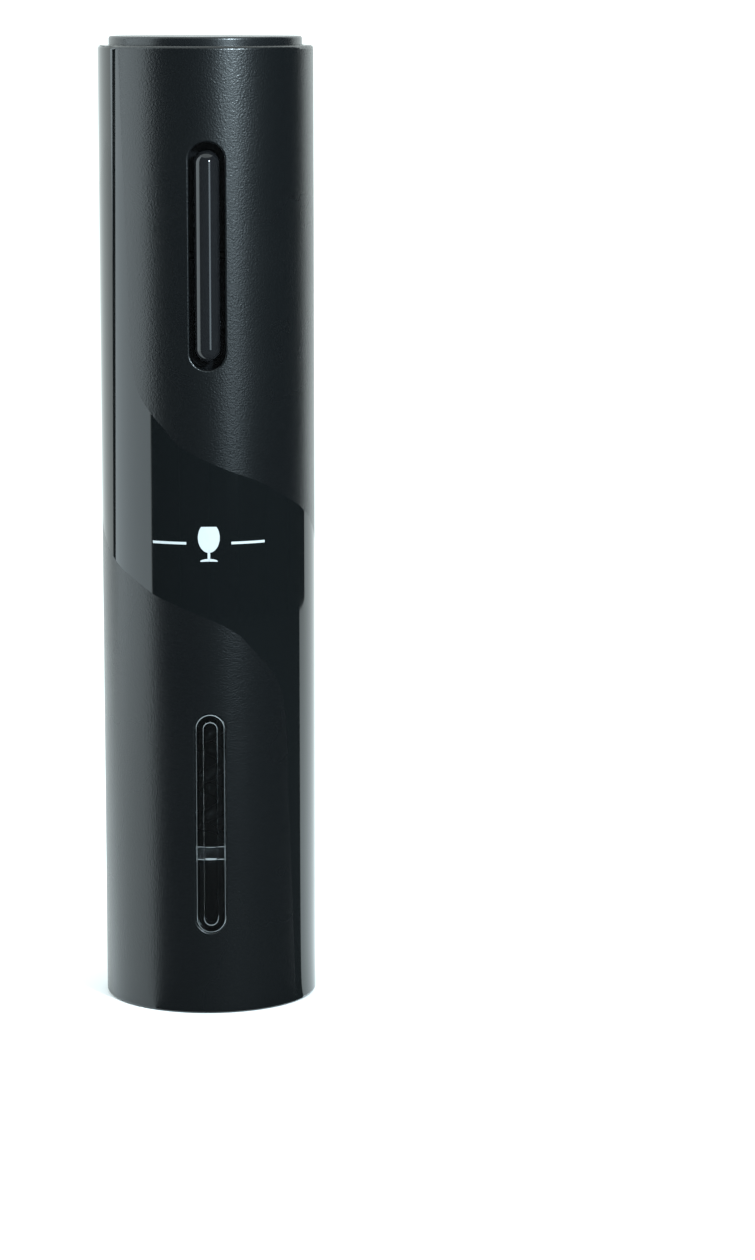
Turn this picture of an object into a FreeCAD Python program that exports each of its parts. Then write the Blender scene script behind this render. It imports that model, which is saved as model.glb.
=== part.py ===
import FreeCAD, Part
import math
import os
import re

import Sketcher
from FreeCAD import Placement, Rotation, Vector

# An electric wine opener: a tall round handle that stands over a bottle's mouth.
# The origin is the centre of the lower rim, +Z is up, and the front, with the
# switch and the window, faces -Y.  Sizes are millimetres and degrees.

DRIVING = {
    # casing
    "shell_radius": 24.5, "shell_wall": 2.2, "shell_top": 219.8,
    "rim_round": 0.8, "slot_round": 0.4, "seam_round": 0.12,
    "gap": 0.3, "slip": 0.05, "seat": 0.1,
    "boss_side": 18.7, "boss_radius": 2.9, "boss_reach": 11.2,
    "low_screws": 84.0, "high_screws": 155.0,
    "pilot_radius": 1.1, "pilot_depth": 8.5, "clearance_radius": 1.3,
    "well_radius": 2.4, "well_floor": 6.0,
    "screw_head": 2.1, "screw_head_height": 1.5, "screw_shank": 1.05, "screw_length": 13.5,
    "recess_depth": 0.9, "recess_reach": 1.3, "recess_half": 0.3,
    "rib_depth": 2.4, "rib_height": 1.8, "rib_root": 0.5,
    # long slots in the front
    "slot_length": 50.8, "switch_slot_middle": 173.4, "switch_slot_width": 8.0,
    "window_slot_middle": 44.4, "window_slot_width": 6.8,
    "window_rib_width": 3.3, "window_rib_length": 46.5, "window_rib_height": 0.4,
    "window_rib_shift": 0.7, "window_rib_round": 0.3, "window_edge_round": 0.25,
    "window_sink": 0.15, "window_lap": 2.0, "window_flange": 0.9,
    # bottle end
    "neck_radius": 15.75, "sleeve_wall": 1.5, "nose_low": 0.8, "nose_flange_top": 4.0,
    "mouth_flare": 1.2, "flare_top": 3.0,
    "ring_bottom": 34.6, "ring_top": 37.5, "ring_grip": 0.35, "ring_lip": 0.6,
    "lip_stop": 60.0, "lip_plate": 2.0, "shoulder_rise": 1.5,
    "cork_radius": 13.0, "cork_wall": 2.0,
    "cork_rib_reach": 1.8, "cork_rib_half": 0.6, "cork_rib_clear": 4.0, "cork_ribs": 4,
    "view_slot_width": 10.0, "view_slot_low": 17.0, "view_slot_high": 71.0,
    "chassis_low": 104.5, "flange_radius": 20.6, "flange_height": 2.0,
    "chassis_screw_circle": 17.8, "chassis_screws": 3, "chassis_bore": 1.0, "case_bore": 1.2,
    "chassis_shank": 0.95, "chassis_head": 1.8, "chassis_head_height": 1.35,
    # worm
    "worm_tip": 35.5, "worm_root": 99.3, "worm_wire": 1.5, "worm_coil": 3.1, "worm_pitch": 9.5,
    "worm_point_turn": 170.0, "worm_point": 0.2, "worm_room": 0.15,
    "hub_radius": 7.0, "hub_low": 90.5, "hub_floor": 101.2, "hub_high": 104.8,
    "hub_taper": 1.2, "hub_taper_rise": 2.0, "hub_pin": 0.8, "hub_pin_level": 102.9,
    # gearbox
    "module": 0.45, "sun_teeth": 10, "planet_teeth": 20, "ring_teeth": 50, "planets": 3,
    "pressure_angle": 20.0, "wheel_root": 1.2, "wheel_tip": 0.85, "ring_tip": 0.8, "ring_root": 1.25,
    "backlash": 0.10, "gearbox_radius": 14.5, "gearbox_floor": 106.6, "gearbox_top": 128.5,
    "planet_height": 4.0, "planet_pin": 1.0, "carrier_radius": 10.0, "carrier_plate": 1.8,
    "output_shaft": 3.0, "bush_radius": 5.0, "case_floor": 3.6, "washer_step": 0.6,
    "stage_2_low": 115.9, "stage_1_low": 123.2,
    # motor
    "motor_radius": 12.2, "motor_low": 130.7, "motor_high": 158.6, "motor_shaft": 1.0,
    "motor_bore_top": 6.1, "motor_nose": 3.0, "motor_nose_reach": 1.6, "motor_chamfer": 1.0,
    "end_cap_step": 1.4, "end_cap_nose": 4.5, "end_cap_high": 161.4,
    "cover_plate": 2.0, "cover_bore": 3.1, "motor_screw_side": 8.0, "lead_radius": 0.5,
    # batteries
    "cell_radius": 7.25, "cell_low": 165.6, "cell_length": 50.5, "cell_offset": 7.4,
    "nub_radius": 2.7, "nub_height": 1.2,
    "strip_half": 3.0, "strip_thick": 0.4, "bump_wide": 2.6, "bump_narrow": 1.4,
    "holder_low": 162.6, "holder_top": 213.6, "holder_radius": 18.45, "holder_wall": 0.6,
    "holder_front": 15.55, "holder_front_wall": 0.8, "holder_floor": 1.6, "holder_post": 2.6,
    "ear_half": 1.5,
    # switch
    "bar_width": 5.85, "bar_length": 47.2, "bar_crest": 25.5, "bar_back": 22.2,
    "hinge_depth": 20.5, "hinge_pin": 0.75, "lug_radius": 1.15, "lug_width": 4.0,
    "tray_width": 12.0, "tray_length": 60.0, "tray_floor": 19.1, "tray_back": 18.3,
    "board_front": 17.1, "board_back": 16.1, "board_width": 13.0,
    "push_height": 15.0, "push_radius": 1.3, "push_face": 20.4, "push_inner": 18.4,
    "stud_radius": 1.2, "switch_size": 5.0, "switch_room": 0.2, "switch_front": 18.8,
    "tray_foot": 3.4, "tray_screw_inset": 1.9, "tray_tap": 0.8, "tray_shank": 0.75,
    "tray_head": 1.4, "board_bore": 0.9, "hinge_relief": 2.6, "lug_room": 0.6,
    # battery cap
    "cap_radius": 21.95, "cap_top": 222.0, "cap_under": 219.7, "cap_round": 0.6,
    "cap_crown": 0.15, "cap_boss": 4.0, "cap_spigot": 1.8, "cap_pilot": 0.95, "cap_skin": 1.3,
    "cap_screw_head": 2.7, "cap_screw_shank": 0.9,
    "skirt_radius": 19.85, "skirt_wall": 1.1, "skirt_low": 209.6,
    "lug_pin": 1.5, "lug_pin_reach": 21.35, "lug_pin_level": 212.0, "cap_lugs": 3,
    "collar_low": 206.0, "collar_top": 219.4, "collar_inner": 20.2, "collar_outer": 22.1,
    "cap_turn": 120.0, "cap_rise": 12.0,
    "plate_low": 217.2, "plate_high": 218.4, "plate_radius": 18.2,
}

doc = FreeCAD.newDocument("WineOpener")
sheet = doc.addObject("Spreadsheet::Sheet", "Dims")
for row, (alias, size) in enumerate(DRIVING.items(), start=1):
    sheet.set("A%d" % row, alias)
    sheet.set("B%d" % row, str(size))
    sheet.setAlias("B%d" % row, alias)
doc.recompute()

ALIAS = re.compile(r"\b(" + "|".join(sorted(DRIVING, key=len, reverse=True)) + r")\b")
nodes = []


def bound(text):
    """An expression of the sheet's aliases, as another object writes it."""
    return ALIAS.sub(r"Dims.\1", str(text))


def size(text):
    """The present value of an expression of the sheet's aliases."""
    return float(sheet.evalExpression(str(text)))


def bind(item, **fields):
    """Tie an object's fields to the sheet; x, y and z are its place."""
    for field, text in fields.items():
        path = "Placement.Base." + field if field in ("x", "y", "z") else field
        item.setExpression(path, bound(text))
    return item


def node(item, label):
    """Name a finished sub-part, which is exported under its label."""
    item.Label = label
    nodes.append(item)
    return item


# ---------------------------------------------------------------- building blocks

def cylinder(name, radius, low, high, x="0", y="0"):
    """An upright cylinder between two levels."""
    item = doc.addObject("Part::Cylinder", name)
    return bind(item, Radius=radius, Height="(%s) - (%s)" % (high, low), x=x, y=y, z=low)


def cross_cylinder(name, radius, near, far, x, z):
    """A cylinder along +Y, from near to far."""
    item = doc.addObject("Part::Cylinder", name)
    item.Placement = Placement(Vector(), Rotation(Vector(1, 0, 0), -90))
    return bind(item, Radius=radius, Height="(%s) - (%s)" % (far, near), x=x, y=near, z=z)


def side_cylinder(name, radius, length, y, z):
    """A cylinder along X, centred on the middle plane."""
    item = doc.addObject("Part::Cylinder", name)
    item.Placement = Placement(Vector(), Rotation(Vector(0, 1, 0), 90))
    return bind(item, Radius=radius, Height=length, x="-(%s) / 2" % length, y=y, z=z)


def block(name, x, y, z):
    """A box between three pairs of limits."""
    item = doc.addObject("Part::Box", name)
    spans = ["(%s) - (%s)" % (high, low) for low, high in (x, y, z)]
    return bind(item, Length=spans[0], Width=spans[1], Height=spans[2], x=x[0], y=y[0], z=z[0])


def fuse(name, *parts):
    item = doc.addObject("Part::MultiFuse", name)
    item.Shapes = list(parts)
    return item


def common(name, *parts):
    item = doc.addObject("Part::MultiCommon", name)
    item.Shapes = list(parts)
    return item


def cut(name, base, *tools):
    item = doc.addObject("Part::Cut", name)
    item.Base = base
    item.Tool = tools[0] if len(tools) == 1 else fuse(name + "Tools", *tools)
    return item


def tube(name, outer, inner, low, high):
    """An upright ring between two radii and two levels."""
    bore = cylinder(name + "Bore", inner, "(%s) - 1" % low, "(%s) + 1" % high)
    return cut(name, cylinder(name + "Outer", outer, low, high), bore)


def soften(name, base, picks):
    """Round the edges of a solid; each pick is a radius and a test of an edge."""
    doc.recompute()
    rounded = [(index + 1, radius, radius)
               for index, edge in enumerate(base.Shape.Edges)
               for radius, is_picked in picks if is_picked(edge)]
    item = doc.addObject("Part::Fillet", name)
    item.Base = base
    item.Edges = rounded
    return item


def on_front(face_radius, inner_half, outer_half, low, high):
    """A test for edges that lie on an upright round face, within a strip of the front."""
    def test(edge):
        places = edge.discretize(5)
        widest = max(abs(place.x) for place in places)
        return (inner_half < widest < outer_half and all(
            abs(math.hypot(place.x, place.y) - face_radius) < 0.02 and place.y < 0
            and low < place.z < high for place in places))
    return test


def racetrack(name, width, length, middle, near, far):
    """A round-ended bar standing upright, thick along Y from near to far."""
    half = "(%s) / 2" % width
    reach = "((%s) - (%s)) / 2" % (length, width)
    top, bottom = "%s + %s" % (middle, reach), "%s - %s" % (middle, reach)
    return fuse(
        name,
        block(name + "Middle", ("-" + half, half), (near, far), (bottom, top)),
        cross_cylinder(name + "Top", half, near, far, "0", top),
        cross_cylinder(name + "Bottom", half, near, far, "0", bottom))


def origin_plane(body, role):
    return next(plane for plane in body.Origin.OriginFeatures if plane.Role == role)


def outline(body, name, points, role="XZ_Plane"):
    """A closed sketch through points, each held by two dimensions from the sheet."""
    sketch = body.newObject("Sketcher::SketchObject", name)
    sketch.AttachmentSupport = [(origin_plane(body, role), "")]
    sketch.MapMode = "FlatFace"
    places = [Vector(size(across), size(up), 0) for across, up in points]
    for index, place in enumerate(places):
        sketch.addGeometry(Part.LineSegment(place, places[(index + 1) % len(places)]))
    for index, (place, (across, up)) in enumerate(zip(places, points)):
        following = (index + 1) % len(places)
        sketch.addConstraint(Sketcher.Constraint("Coincident", index, 2, following, 1))
        for kind, text, amount in (("DistanceX", across, place.x), ("DistanceY", up, place.y)):
            held = sketch.addConstraint(Sketcher.Constraint(kind, -1, 1, index, 1, amount))
            sketch.setExpression("Constraints[%d]" % held, bound(text))
    return sketch


def turn(body, name, points, angle=360, backwards=False):
    """Revolve an outline of (radius, height) points about the upright axis."""
    sketch = outline(body, name + "Outline", points)
    feature = body.newObject("PartDesign::Revolution", name)
    feature.Profile = sketch
    feature.ReferenceAxis = (sketch, ["V_Axis"])
    feature.Angle = angle
    feature.Reversed = backwards
    return feature


def turned(name, points):
    """A piece turned about the upright axis, as a body of its own."""
    body = doc.addObject("PartDesign::Body", name)
    turn(body, name + "Turned", points)
    return body


def around(name, item, count, start=0.0):
    """Copies of an object, evenly spaced about the upright axis."""
    step = 360.0 / count
    copies = []
    for index in range(count):
        copy = doc.addObject("Part::Feature", "%s%d" % (name, index))
        copy.Shape = item.Shape.rotated(Vector(), Vector(0, 0, 1), start + step * index)
        copies.append(copy)
    return copies


def screw(name, x, z):
    """A self-tapping casing screw along Y, its head towards +Y with a cross recess."""
    head_at = "well_floor + slip"
    top = head_at + " + screw_head_height"
    solid = fuse(
        name + "Solid",
        cross_cylinder(name + "Head", "screw_head", head_at, top, x, z),
        cross_cylinder(name + "Shank", "screw_shank", head_at + " - screw_length", head_at, x, z))
    recess = [block(name + "Recess" + way, ("%s - %s" % (x, across), "%s + %s" % (x, across)),
                    (top + " - recess_depth", top + " + 1"),
                    ("%s - %s" % (z, up), "%s + %s" % (z, up)))
              for way, across, up in (("Across", "recess_reach", "recess_half"),
                                      ("Up", "recess_half", "recess_reach"))]
    return cut(name, solid, *recess)


# ---------------------------------------------------------------- casing

INNER = "shell_radius - shell_wall"
OUTSIDE, BEHIND_WALL = "-shell_radius - 5.5", "-shell_radius / 2"
SLEEVE = "neck_radius + sleeve_wall"
CHASSIS_TOP = "chassis_low + 2 * flange_height + seat"


def round_rims(body, name, radius, is_rim):
    """Round the circular edges that a test picks out."""
    doc.recompute()
    solid = body.Tip
    rims = ["Edge%d" % (index + 1) for index, edge in enumerate(solid.Shape.Edges)
            if isinstance(edge.Curve, Part.Circle) and is_rim(edge.Curve)]
    rounding = body.newObject("PartDesign::Fillet", name)
    rounding.Base = (solid, rims)
    rounding.setExpression("Radius", bound(radius))


def half_shell(name, backwards):
    """Half of the casing tube, with its screw bosses and the ribs that hold the frame."""
    body = doc.addObject("PartDesign::Body", name)
    turn(body, name + "Wall", [(INNER, "0"), ("shell_radius", "0"), ("shell_radius", "shell_top"),
                               (INNER, "shell_top")], 180, backwards)
    round_rims(body, name + "Rims", "rim_round",
               lambda circle: circle.Radius > size("shell_radius") - 0.01)
    for level, low, depth in (
            ("NoseClip", "nose_flange_top + seat", "rib_depth"),
            ("FrameUnder", "chassis_low - seat - rib_height", "rib_depth"),
            ("FrameOver", CHASSIS_TOP + " + seat", "rib_depth"),
            ("HolderSeat", "holder_low - seat - rib_height", "2 * rib_depth"),
            ("CollarSeat", "collar_low - seat - rib_height", "rib_depth")):
        turn(body, name + level, [
            ("%s - %s" % (INNER, depth), low), (INNER + " + rib_root", low),
            (INNER + " + rib_root", "%s + rib_height" % low),
            ("%s - %s" % (INNER, depth), "%s + rib_height" % low)], 180, backwards)
    return body


def boss_places():
    return [(side, level) for side in ("-boss_side", "boss_side")
            for level in ("low_screws", "high_screws")]


def on_seam(edge):
    """A test for the long outer edges where the two halves meet."""
    box = edge.BoundBox
    return (box.YLength < 0.01 and abs(box.YMin) < 0.01 and box.ZLength > 100
            and abs(abs(box.XMin) - size("shell_radius")) < 0.01)


def shells():
    front_bosses = [
        cross_cylinder("FrontBoss%d" % index, "boss_radius", "-boss_reach", "0", side, level)
        for index, (side, level) in enumerate(boss_places())]
    back_bosses = [
        cross_cylinder("BackBoss%d" % index, "boss_radius", "0", "boss_reach", side, level)
        for index, (side, level) in enumerate(boss_places())]
    pilots = [
        cross_cylinder("Pilot%d" % index, "pilot_radius", "-pilot_depth", "0.01", side, level)
        for index, (side, level) in enumerate(boss_places())]
    clearances = [
        cross_cylinder("Clearance%d" % index, "clearance_radius", "-0.01", "shell_radius", side, level)
        for index, (side, level) in enumerate(boss_places())]
    head_wells = [
        cross_cylinder("HeadWell%d" % index, "well_radius", "well_floor", "shell_radius", side, level)
        for index, (side, level) in enumerate(boss_places())]
    switch_slot = racetrack("SwitchSlot", "switch_slot_width", "slot_length",
                            "switch_slot_middle", OUTSIDE, BEHIND_WALL)
    window_slot = racetrack("WindowSlot", "window_slot_width", "slot_length",
                            "window_slot_middle", OUTSIDE, BEHIND_WALL)
    tray_room = common(
        "TrayRoom",
        cylinder("TrayRoomRound", INNER, "switch_slot_middle - tray_length / 2 - gap",
                 "switch_slot_middle + tray_length / 2 + gap"),
        block("TrayRoomWidth", ("-tray_width / 2 - 1", "tray_width / 2 + 1"),
              (OUTSIDE, BEHIND_WALL),
              ("switch_slot_middle - tray_length / 2 - gap",
               "switch_slot_middle + tray_length / 2 + gap")))
    front = fuse("FrontSolid", half_shell("FrontHalf", True), *front_bosses)
    back = fuse("BackSolid", half_shell("BackHalf", False), *back_bosses)
    cut_front = cut("FrontCut", front, switch_slot, window_slot, tray_room, *pilots)
    cut_back = cut("BackCut", back, *(clearances + head_wells))
    face = size("shell_radius")
    slots = [on_front(face, 0, size(width) / 2 + 0.1, size(middle) - 26, size(middle) + 26)
             for middle, width in (("switch_slot_middle", "switch_slot_width"),
                                   ("window_slot_middle", "window_slot_width"))]
    slot_edges = [(DRIVING["slot_round"], test) for test in slots]
    seam_edges = [(DRIVING["seam_round"], on_seam)]
    node(soften("FrontShell", cut_front, slot_edges + seam_edges), "front_shell")
    node(soften("BackShell", cut_back, seam_edges), "back_shell")
    node(fuse("ShellScrews", *[
        screw("ShellScrew%d" % index, side, level)
        for index, (side, level) in enumerate(boss_places())]), "shell_screws")


WINDOW_FACE = "shell_radius - window_sink"
WINDOW_BACK = INNER + " - window_flange"


def window():
    """The clear insert: a flanged strip bent to the casing, with a long raised bead."""
    levels = ("window_slot_middle - slot_length", "window_slot_middle + slot_length")
    strip = common(
        "WindowStrip",
        racetrack("WindowFace", "window_slot_width - 2 * seat", "slot_length - 2 * seat",
                  "window_slot_middle", OUTSIDE, BEHIND_WALL),
        tube("WindowFaceRing", WINDOW_FACE, WINDOW_BACK, *levels))
    flange = common(
        "WindowFlange",
        racetrack("WindowBack", "window_slot_width + 2 * window_lap",
                  "slot_length + 2 * window_lap",
                  "window_slot_middle", OUTSIDE, BEHIND_WALL),
        tube("WindowBackRing", INNER + " - seat", WINDOW_BACK, *levels))
    bead = common(
        "WindowBead",
        racetrack("WindowBeadFace", "window_rib_width", "window_rib_length",
                  "window_slot_middle + window_rib_shift", OUTSIDE, BEHIND_WALL),
        tube("WindowBeadRing", WINDOW_FACE + " + window_rib_height", WINDOW_FACE + " - gap",
             *levels))
    solid = fuse("WindowSolid", strip, flange, bead)
    low, high = (size(level) for level in levels)
    face, half = size(WINDOW_FACE), size("window_rib_width") / 2 + 0.1
    node(soften("Window", solid, [
        (DRIVING["window_edge_round"], on_front(face, half, 4.0, low, high)),
        (DRIVING["window_rib_round"],
         on_front(face + size("window_rib_height"), 0, half, low, high))]), "lower_window")


# ---------------------------------------------------------------- bottle end

def view_slot(name, low, high):
    """The opening through the front of a sleeve, behind the window."""
    half = "view_slot_width / 2"
    return block(name, ("-" + half, half), ("-25", "0"), (low, high))


def nose_guide():
    """The sleeve that the bottle's neck enters, with a flared mouth and a base flange."""
    sleeve = turned("NoseSleeve", [
        ("neck_radius + mouth_flare", "nose_low"), (INNER + " - seat", "nose_low"),
        (INNER + " - seat", "nose_flange_top"), (SLEEVE, "nose_flange_top"),
        (SLEEVE, "ring_bottom - seat"), ("neck_radius", "ring_bottom - seat"),
        ("neck_radius", "flare_top")])
    view = view_slot("NoseView", "view_slot_low", "ring_top")
    node(cut("NoseGuide", sleeve, view), "nose_guide")


def neck_ring():
    """The soft ring that steadies the neck."""
    node(turned("NeckRing", [
        ("neck_radius - ring_grip + ring_lip", "ring_bottom"), (SLEEVE + " + gap", "ring_bottom"),
        (SLEEVE + " + gap", "ring_top"), ("neck_radius - ring_grip + ring_lip", "ring_top"),
        ("neck_radius - ring_grip", "(ring_bottom + ring_top) / 2")]), "neck_ring")


def cork_guide():
    """Skirt, lip stop, cork chamber and frame flange in one moulding, with grip ribs."""
    wall, shoulder = "cork_radius + cork_wall", "lip_stop + lip_plate"
    sleeve = turned("CorkSleeve", [
        ("neck_radius", "ring_top + seat"), (SLEEVE, "ring_top + seat"),
        (SLEEVE, shoulder), (wall, shoulder + " + shoulder_rise"), (wall, "chassis_low"),
        ("flange_radius", "chassis_low"), ("flange_radius", "chassis_low + flange_height"),
        ("cork_radius", "chassis_low + flange_height"), ("cork_radius", "lip_stop"),
        ("neck_radius", "lip_stop")])
    rib = block("CorkRib", ("cork_radius - cork_rib_reach", "cork_radius + 0.5"),
                ("-cork_rib_half", "cork_rib_half"), ("lip_stop", "hub_low - cork_rib_clear"))
    hole = cylinder("FrameHole", "chassis_bore", "chassis_low - 1",
                    "chassis_low + 2 * flange_height", x="chassis_screw_circle")
    doc.recompute()
    ribbed = fuse("CorkRibbed", sleeve, *around("CorkRibs", rib, DRIVING["cork_ribs"], 45))
    holes = around("FrameHoles", hole, DRIVING["chassis_screws"], 90)
    slot = view_slot("CorkView", "ring_top - 1", "view_slot_high")
    node(cut("CorkGuide", ribbed, slot, *holes), "cork_guide")


# ---------------------------------------------------------------- worm

def corkscrew():
    """A round wire wound as an open right-hand helix, its last part turn ground to a point."""
    wire, coil, pitch = size("worm_wire"), size("worm_coil"), size("worm_pitch")
    slope = Vector(0, coil * 2 * math.pi, pitch).normalize()
    point_turn = DRIVING["worm_point_turn"]
    point_rise = pitch * point_turn / 360.0

    def section(radius, turned_by, height):
        ring = Part.Wire(Part.makeCircle(radius, Vector(coil, 0, 0), slope))
        ring.rotate(Vector(), Vector(0, 0, 1), turned_by)
        ring.translate(Vector(0, 0, height))
        return ring

    taper = Part.Wire(Part.makeHelix(pitch, point_rise, coil))
    rings = [section(size("worm_point"), 0, 0), section(wire, point_turn, point_rise)]
    point = taper.makePipeShell(rings, True, True)
    start_turn = point_turn - 1
    start_rise = pitch * start_turn / 360.0
    top = size("worm_root - worm_tip")
    path = Part.Wire(Part.makeHelix(pitch, top - start_rise, coil))
    helix = path.makePipeShell([section(wire, 0, 0)], True, True)
    helix.rotate(Vector(), Vector(0, 0, 1), start_turn)
    helix.translate(Vector(0, 0, start_rise))
    joined = point.fuse(helix)
    joined.translate(Vector(0, 0, size("worm_tip")))
    return shaped("Corkscrew", joined, "corkscrew")


def worm_hub():
    """The socket that joins the worm to the output shaft, and the pin through both."""
    pocket = "worm_coil + worm_wire + worm_room"
    hub = turned("WormHub", [
        (pocket, "hub_low"), ("hub_radius - hub_taper", "hub_low"),
        ("hub_radius", "hub_low + hub_taper_rise"),
        ("hub_radius", "hub_high"), ("output_shaft + slip", "hub_high"),
        ("output_shaft + slip", "hub_floor"), (pocket, "hub_floor")])
    bore = side_cylinder("HubPinBore", "hub_pin", "3 * hub_radius", "0", "hub_pin_level")
    node(cut("WormHubBored", hub, bore), "worm_hub")
    node(side_cylinder("HubPin", "hub_pin - slip / 2", "2 * hub_radius - 2 * gap", "0", "hub_pin_level"),
         "hub_pin")


# ---------------------------------------------------------------- gearbox

def involute_angle(radius, base):
    """How far an involute has turned from its base circle when it reaches a radius."""
    if radius <= base:
        return 0.0
    roll = math.sqrt((radius / base) ** 2 - 1)
    return roll - math.atan(roll)


def gear_face(teeth, inward, outward, slack):
    """The face of a toothed wheel: flanks follow an involute in five short chords."""
    pitch_radius = size("module") * teeth / 2
    base = pitch_radius * math.cos(math.radians(size("pressure_angle")))
    low, high = pitch_radius - inward, pitch_radius + outward
    half = math.pi / (2 * teeth) - slack / (2 * pitch_radius) + involute_angle(pitch_radius, base)
    radii = [low] + [max(low, base) + (high - max(low, base)) * step / 5 for step in range(6)]
    flank = [(radius, half - involute_angle(radius, base)) for radius in radii]
    points = []
    for tooth in range(teeth):
        middle = 2 * math.pi * tooth / teeth
        rising = [(radius, middle - turn_by) for radius, turn_by in flank]
        falling = [(radius, middle + turn_by) for radius, turn_by in reversed(flank)]
        for radius, angle in rising + falling:
            place = Vector(radius * math.cos(angle), radius * math.sin(angle), 0)
            if not points or place.distanceToPoint(points[-1]) > 1e-4:
                points.append(place)
    return Part.Face(Part.makePolygon(points + [points[0]]))


def wheel(teeth, low, high, turned_by=0.0):
    """An external gear between two levels, a tooth pointing along turned_by."""
    face = gear_face(teeth, size("wheel_root * module"), size("wheel_tip * module"),
                     size("backlash"))
    solid = face.extrude(Vector(0, 0, high - low))
    solid.rotate(Vector(), Vector(0, 0, 1), turned_by)
    solid.translate(Vector(0, 0, low))
    return solid


def shaped(name, shape, label):
    item = doc.addObject("Part::Feature", name)
    item.Shape = shape
    return node(item, label)


def planet_angles():
    return [360.0 * index / DRIVING["planets"] for index in range(DRIVING["planets"])]


def planet_reach():
    return size("module * (sun_teeth + planet_teeth) / 2")


def planets(stage, low):
    """Three planet wheels, each turned so that its gaps meet the sun's teeth."""
    ratio = DRIVING["sun_teeth"] / DRIVING["planet_teeth"]
    half_tooth = 180.0 / DRIVING["planet_teeth"]
    high = low + size("planet_height")
    for letter, angle in zip("abc", planet_angles()):
        turned_by = angle + 180 + ratio * angle + half_tooth
        solid = wheel(DRIVING["planet_teeth"], low, high, turned_by)
        bore = Part.makeCylinder(size("planet_pin + slip"), high - low + 2, Vector(0, 0, low - 1))
        solid = solid.cut(bore)
        aside = Rotation(Vector(0, 0, 1), angle).multVec(Vector(planet_reach(), 0, 0))
        solid.translate(aside)
        shaped("Stage%dPlanet%s" % (stage, letter), solid, "stage_%d_planet_%s" % (stage, letter))


def planet_pins(stage, low):
    pins = []
    for angle in planet_angles():
        aside = Rotation(Vector(0, 0, 1), angle).multVec(Vector(planet_reach(), 0, 0))
        height = size("carrier_plate + planet_height") + 0.5
        start = low - size("carrier_plate") - 0.2
        pins.append(Part.makeCylinder(size("planet_pin"), height, aside + Vector(0, 0, start)))
    shaped("Stage%dPins" % stage, Part.makeCompound(pins), "stage_%d_pins" % stage)


def carrier(low, stem, label):
    """A round plate just under the planets, bored for their pins, with a stem below."""
    plate_top = low - 0.3
    plate = Part.makeCylinder(size("carrier_radius"), size("carrier_plate"),
                              Vector(0, 0, plate_top - size("carrier_plate")))
    body = plate.fuse(stem)
    for angle in planet_angles():
        aside = Rotation(Vector(0, 0, 1), angle).multVec(Vector(planet_reach(), 0, 0))
        body = body.cut(Part.makeCylinder(size("planet_pin"), 8, aside + Vector(0, 0, low - 5)))
    return shaped(label.title().replace("_", ""), body.removeSplitter(), label)


def gear_train():
    low_1, low_2 = size("stage_1_low"), size("stage_2_low")
    shaped_sun = wheel(DRIVING["sun_teeth"], low_1 - 0.2, low_1 + size("planet_height") + 0.4)
    bore = Part.makeCylinder(size("motor_shaft"), 20, Vector(0, 0, low_1 - 5))
    shaped("SunPinion", shaped_sun.cut(bore), "sun_pinion")
    node(cylinder("MotorShaft", "motor_shaft", "stage_1_low - 0.2", "motor_low + 6"), "motor_shaft")
    planets(1, low_1)
    planet_pins(1, low_1)
    plate_low_1 = low_1 - 0.3 - size("carrier_plate")
    second_sun = wheel(DRIVING["sun_teeth"], low_2 - 0.1, plate_low_1 + 0.2)
    carrier(low_1, second_sun, "stage_1_carrier")
    planets(2, low_2)
    planet_pins(2, low_2)
    shaft_low = size("hub_floor + gap")
    plate_low_2 = low_2 - 0.3 - size("carrier_plate")
    shaft = Part.makeCylinder(size("output_shaft"), plate_low_2 + 0.2 - shaft_low,
                              Vector(0, 0, shaft_low))
    shaft = shaft.cut(Part.makeCylinder(size("hub_pin"), 20, Vector(-10, 0, size("hub_pin_level")),
                                        Vector(1, 0, 0)))
    carrier(low_2, shaft, "output_carrier")


def gearbox_case():
    """The toothed ring, its floor and its mounting flange in one moulding."""
    floor, top = size("gearbox_floor"), size("gearbox_top")
    teeth = DRIVING["ring_teeth"]
    flange = Part.makeCylinder(size("flange_radius"), size("flange_height"), Vector(0, 0, floor))
    wall = Part.makeCylinder(size("gearbox_radius"), top - floor, Vector(0, 0, floor))
    case = wall.fuse(flange)
    inside = size("module * (ring_teeth / 2 - ring_tip)")
    hollow = Part.makeCylinder(inside, top, Vector(0, 0, floor + size("case_floor")))
    spaces = gear_face(teeth, size("module"), size("ring_root * module"), -size("backlash"))
    spaces.rotate(Vector(), Vector(0, 0, 1), 180.0 / teeth)
    teeth_cut = spaces.extrude(Vector(0, 0, top))
    teeth_cut.translate(Vector(0, 0, size("stage_2_low") - 1.0))
    case = case.cut(hollow).cut(teeth_cut)
    case = case.cut(Part.makeCylinder(size("bush_radius"), 30, Vector(0, 0, floor - 5)))
    for index in range(DRIVING["chassis_screws"]):
        angle = 90 + 360.0 / DRIVING["chassis_screws"] * index
        aside = Rotation(Vector(0, 0, 1), angle).multVec(Vector(size("chassis_screw_circle"), 0, 0))
        case = case.cut(Part.makeCylinder(size("case_bore"), 8, aside + Vector(0, 0, floor - 2)))
    shaped("GearboxCase", case.removeSplitter(), "gearbox_case")
    node(tube("OutputBush", "bush_radius", "output_shaft + slip", "gearbox_floor - washer_step",
              "gearbox_floor + case_floor"), "output_bush")
    node(tube("ThrustWasher", "bush_radius - washer_step", "output_shaft + slip",
              "hub_high + 3 * slip", "gearbox_floor - washer_step - 3 * slip"), "thrust_washer")


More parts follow.
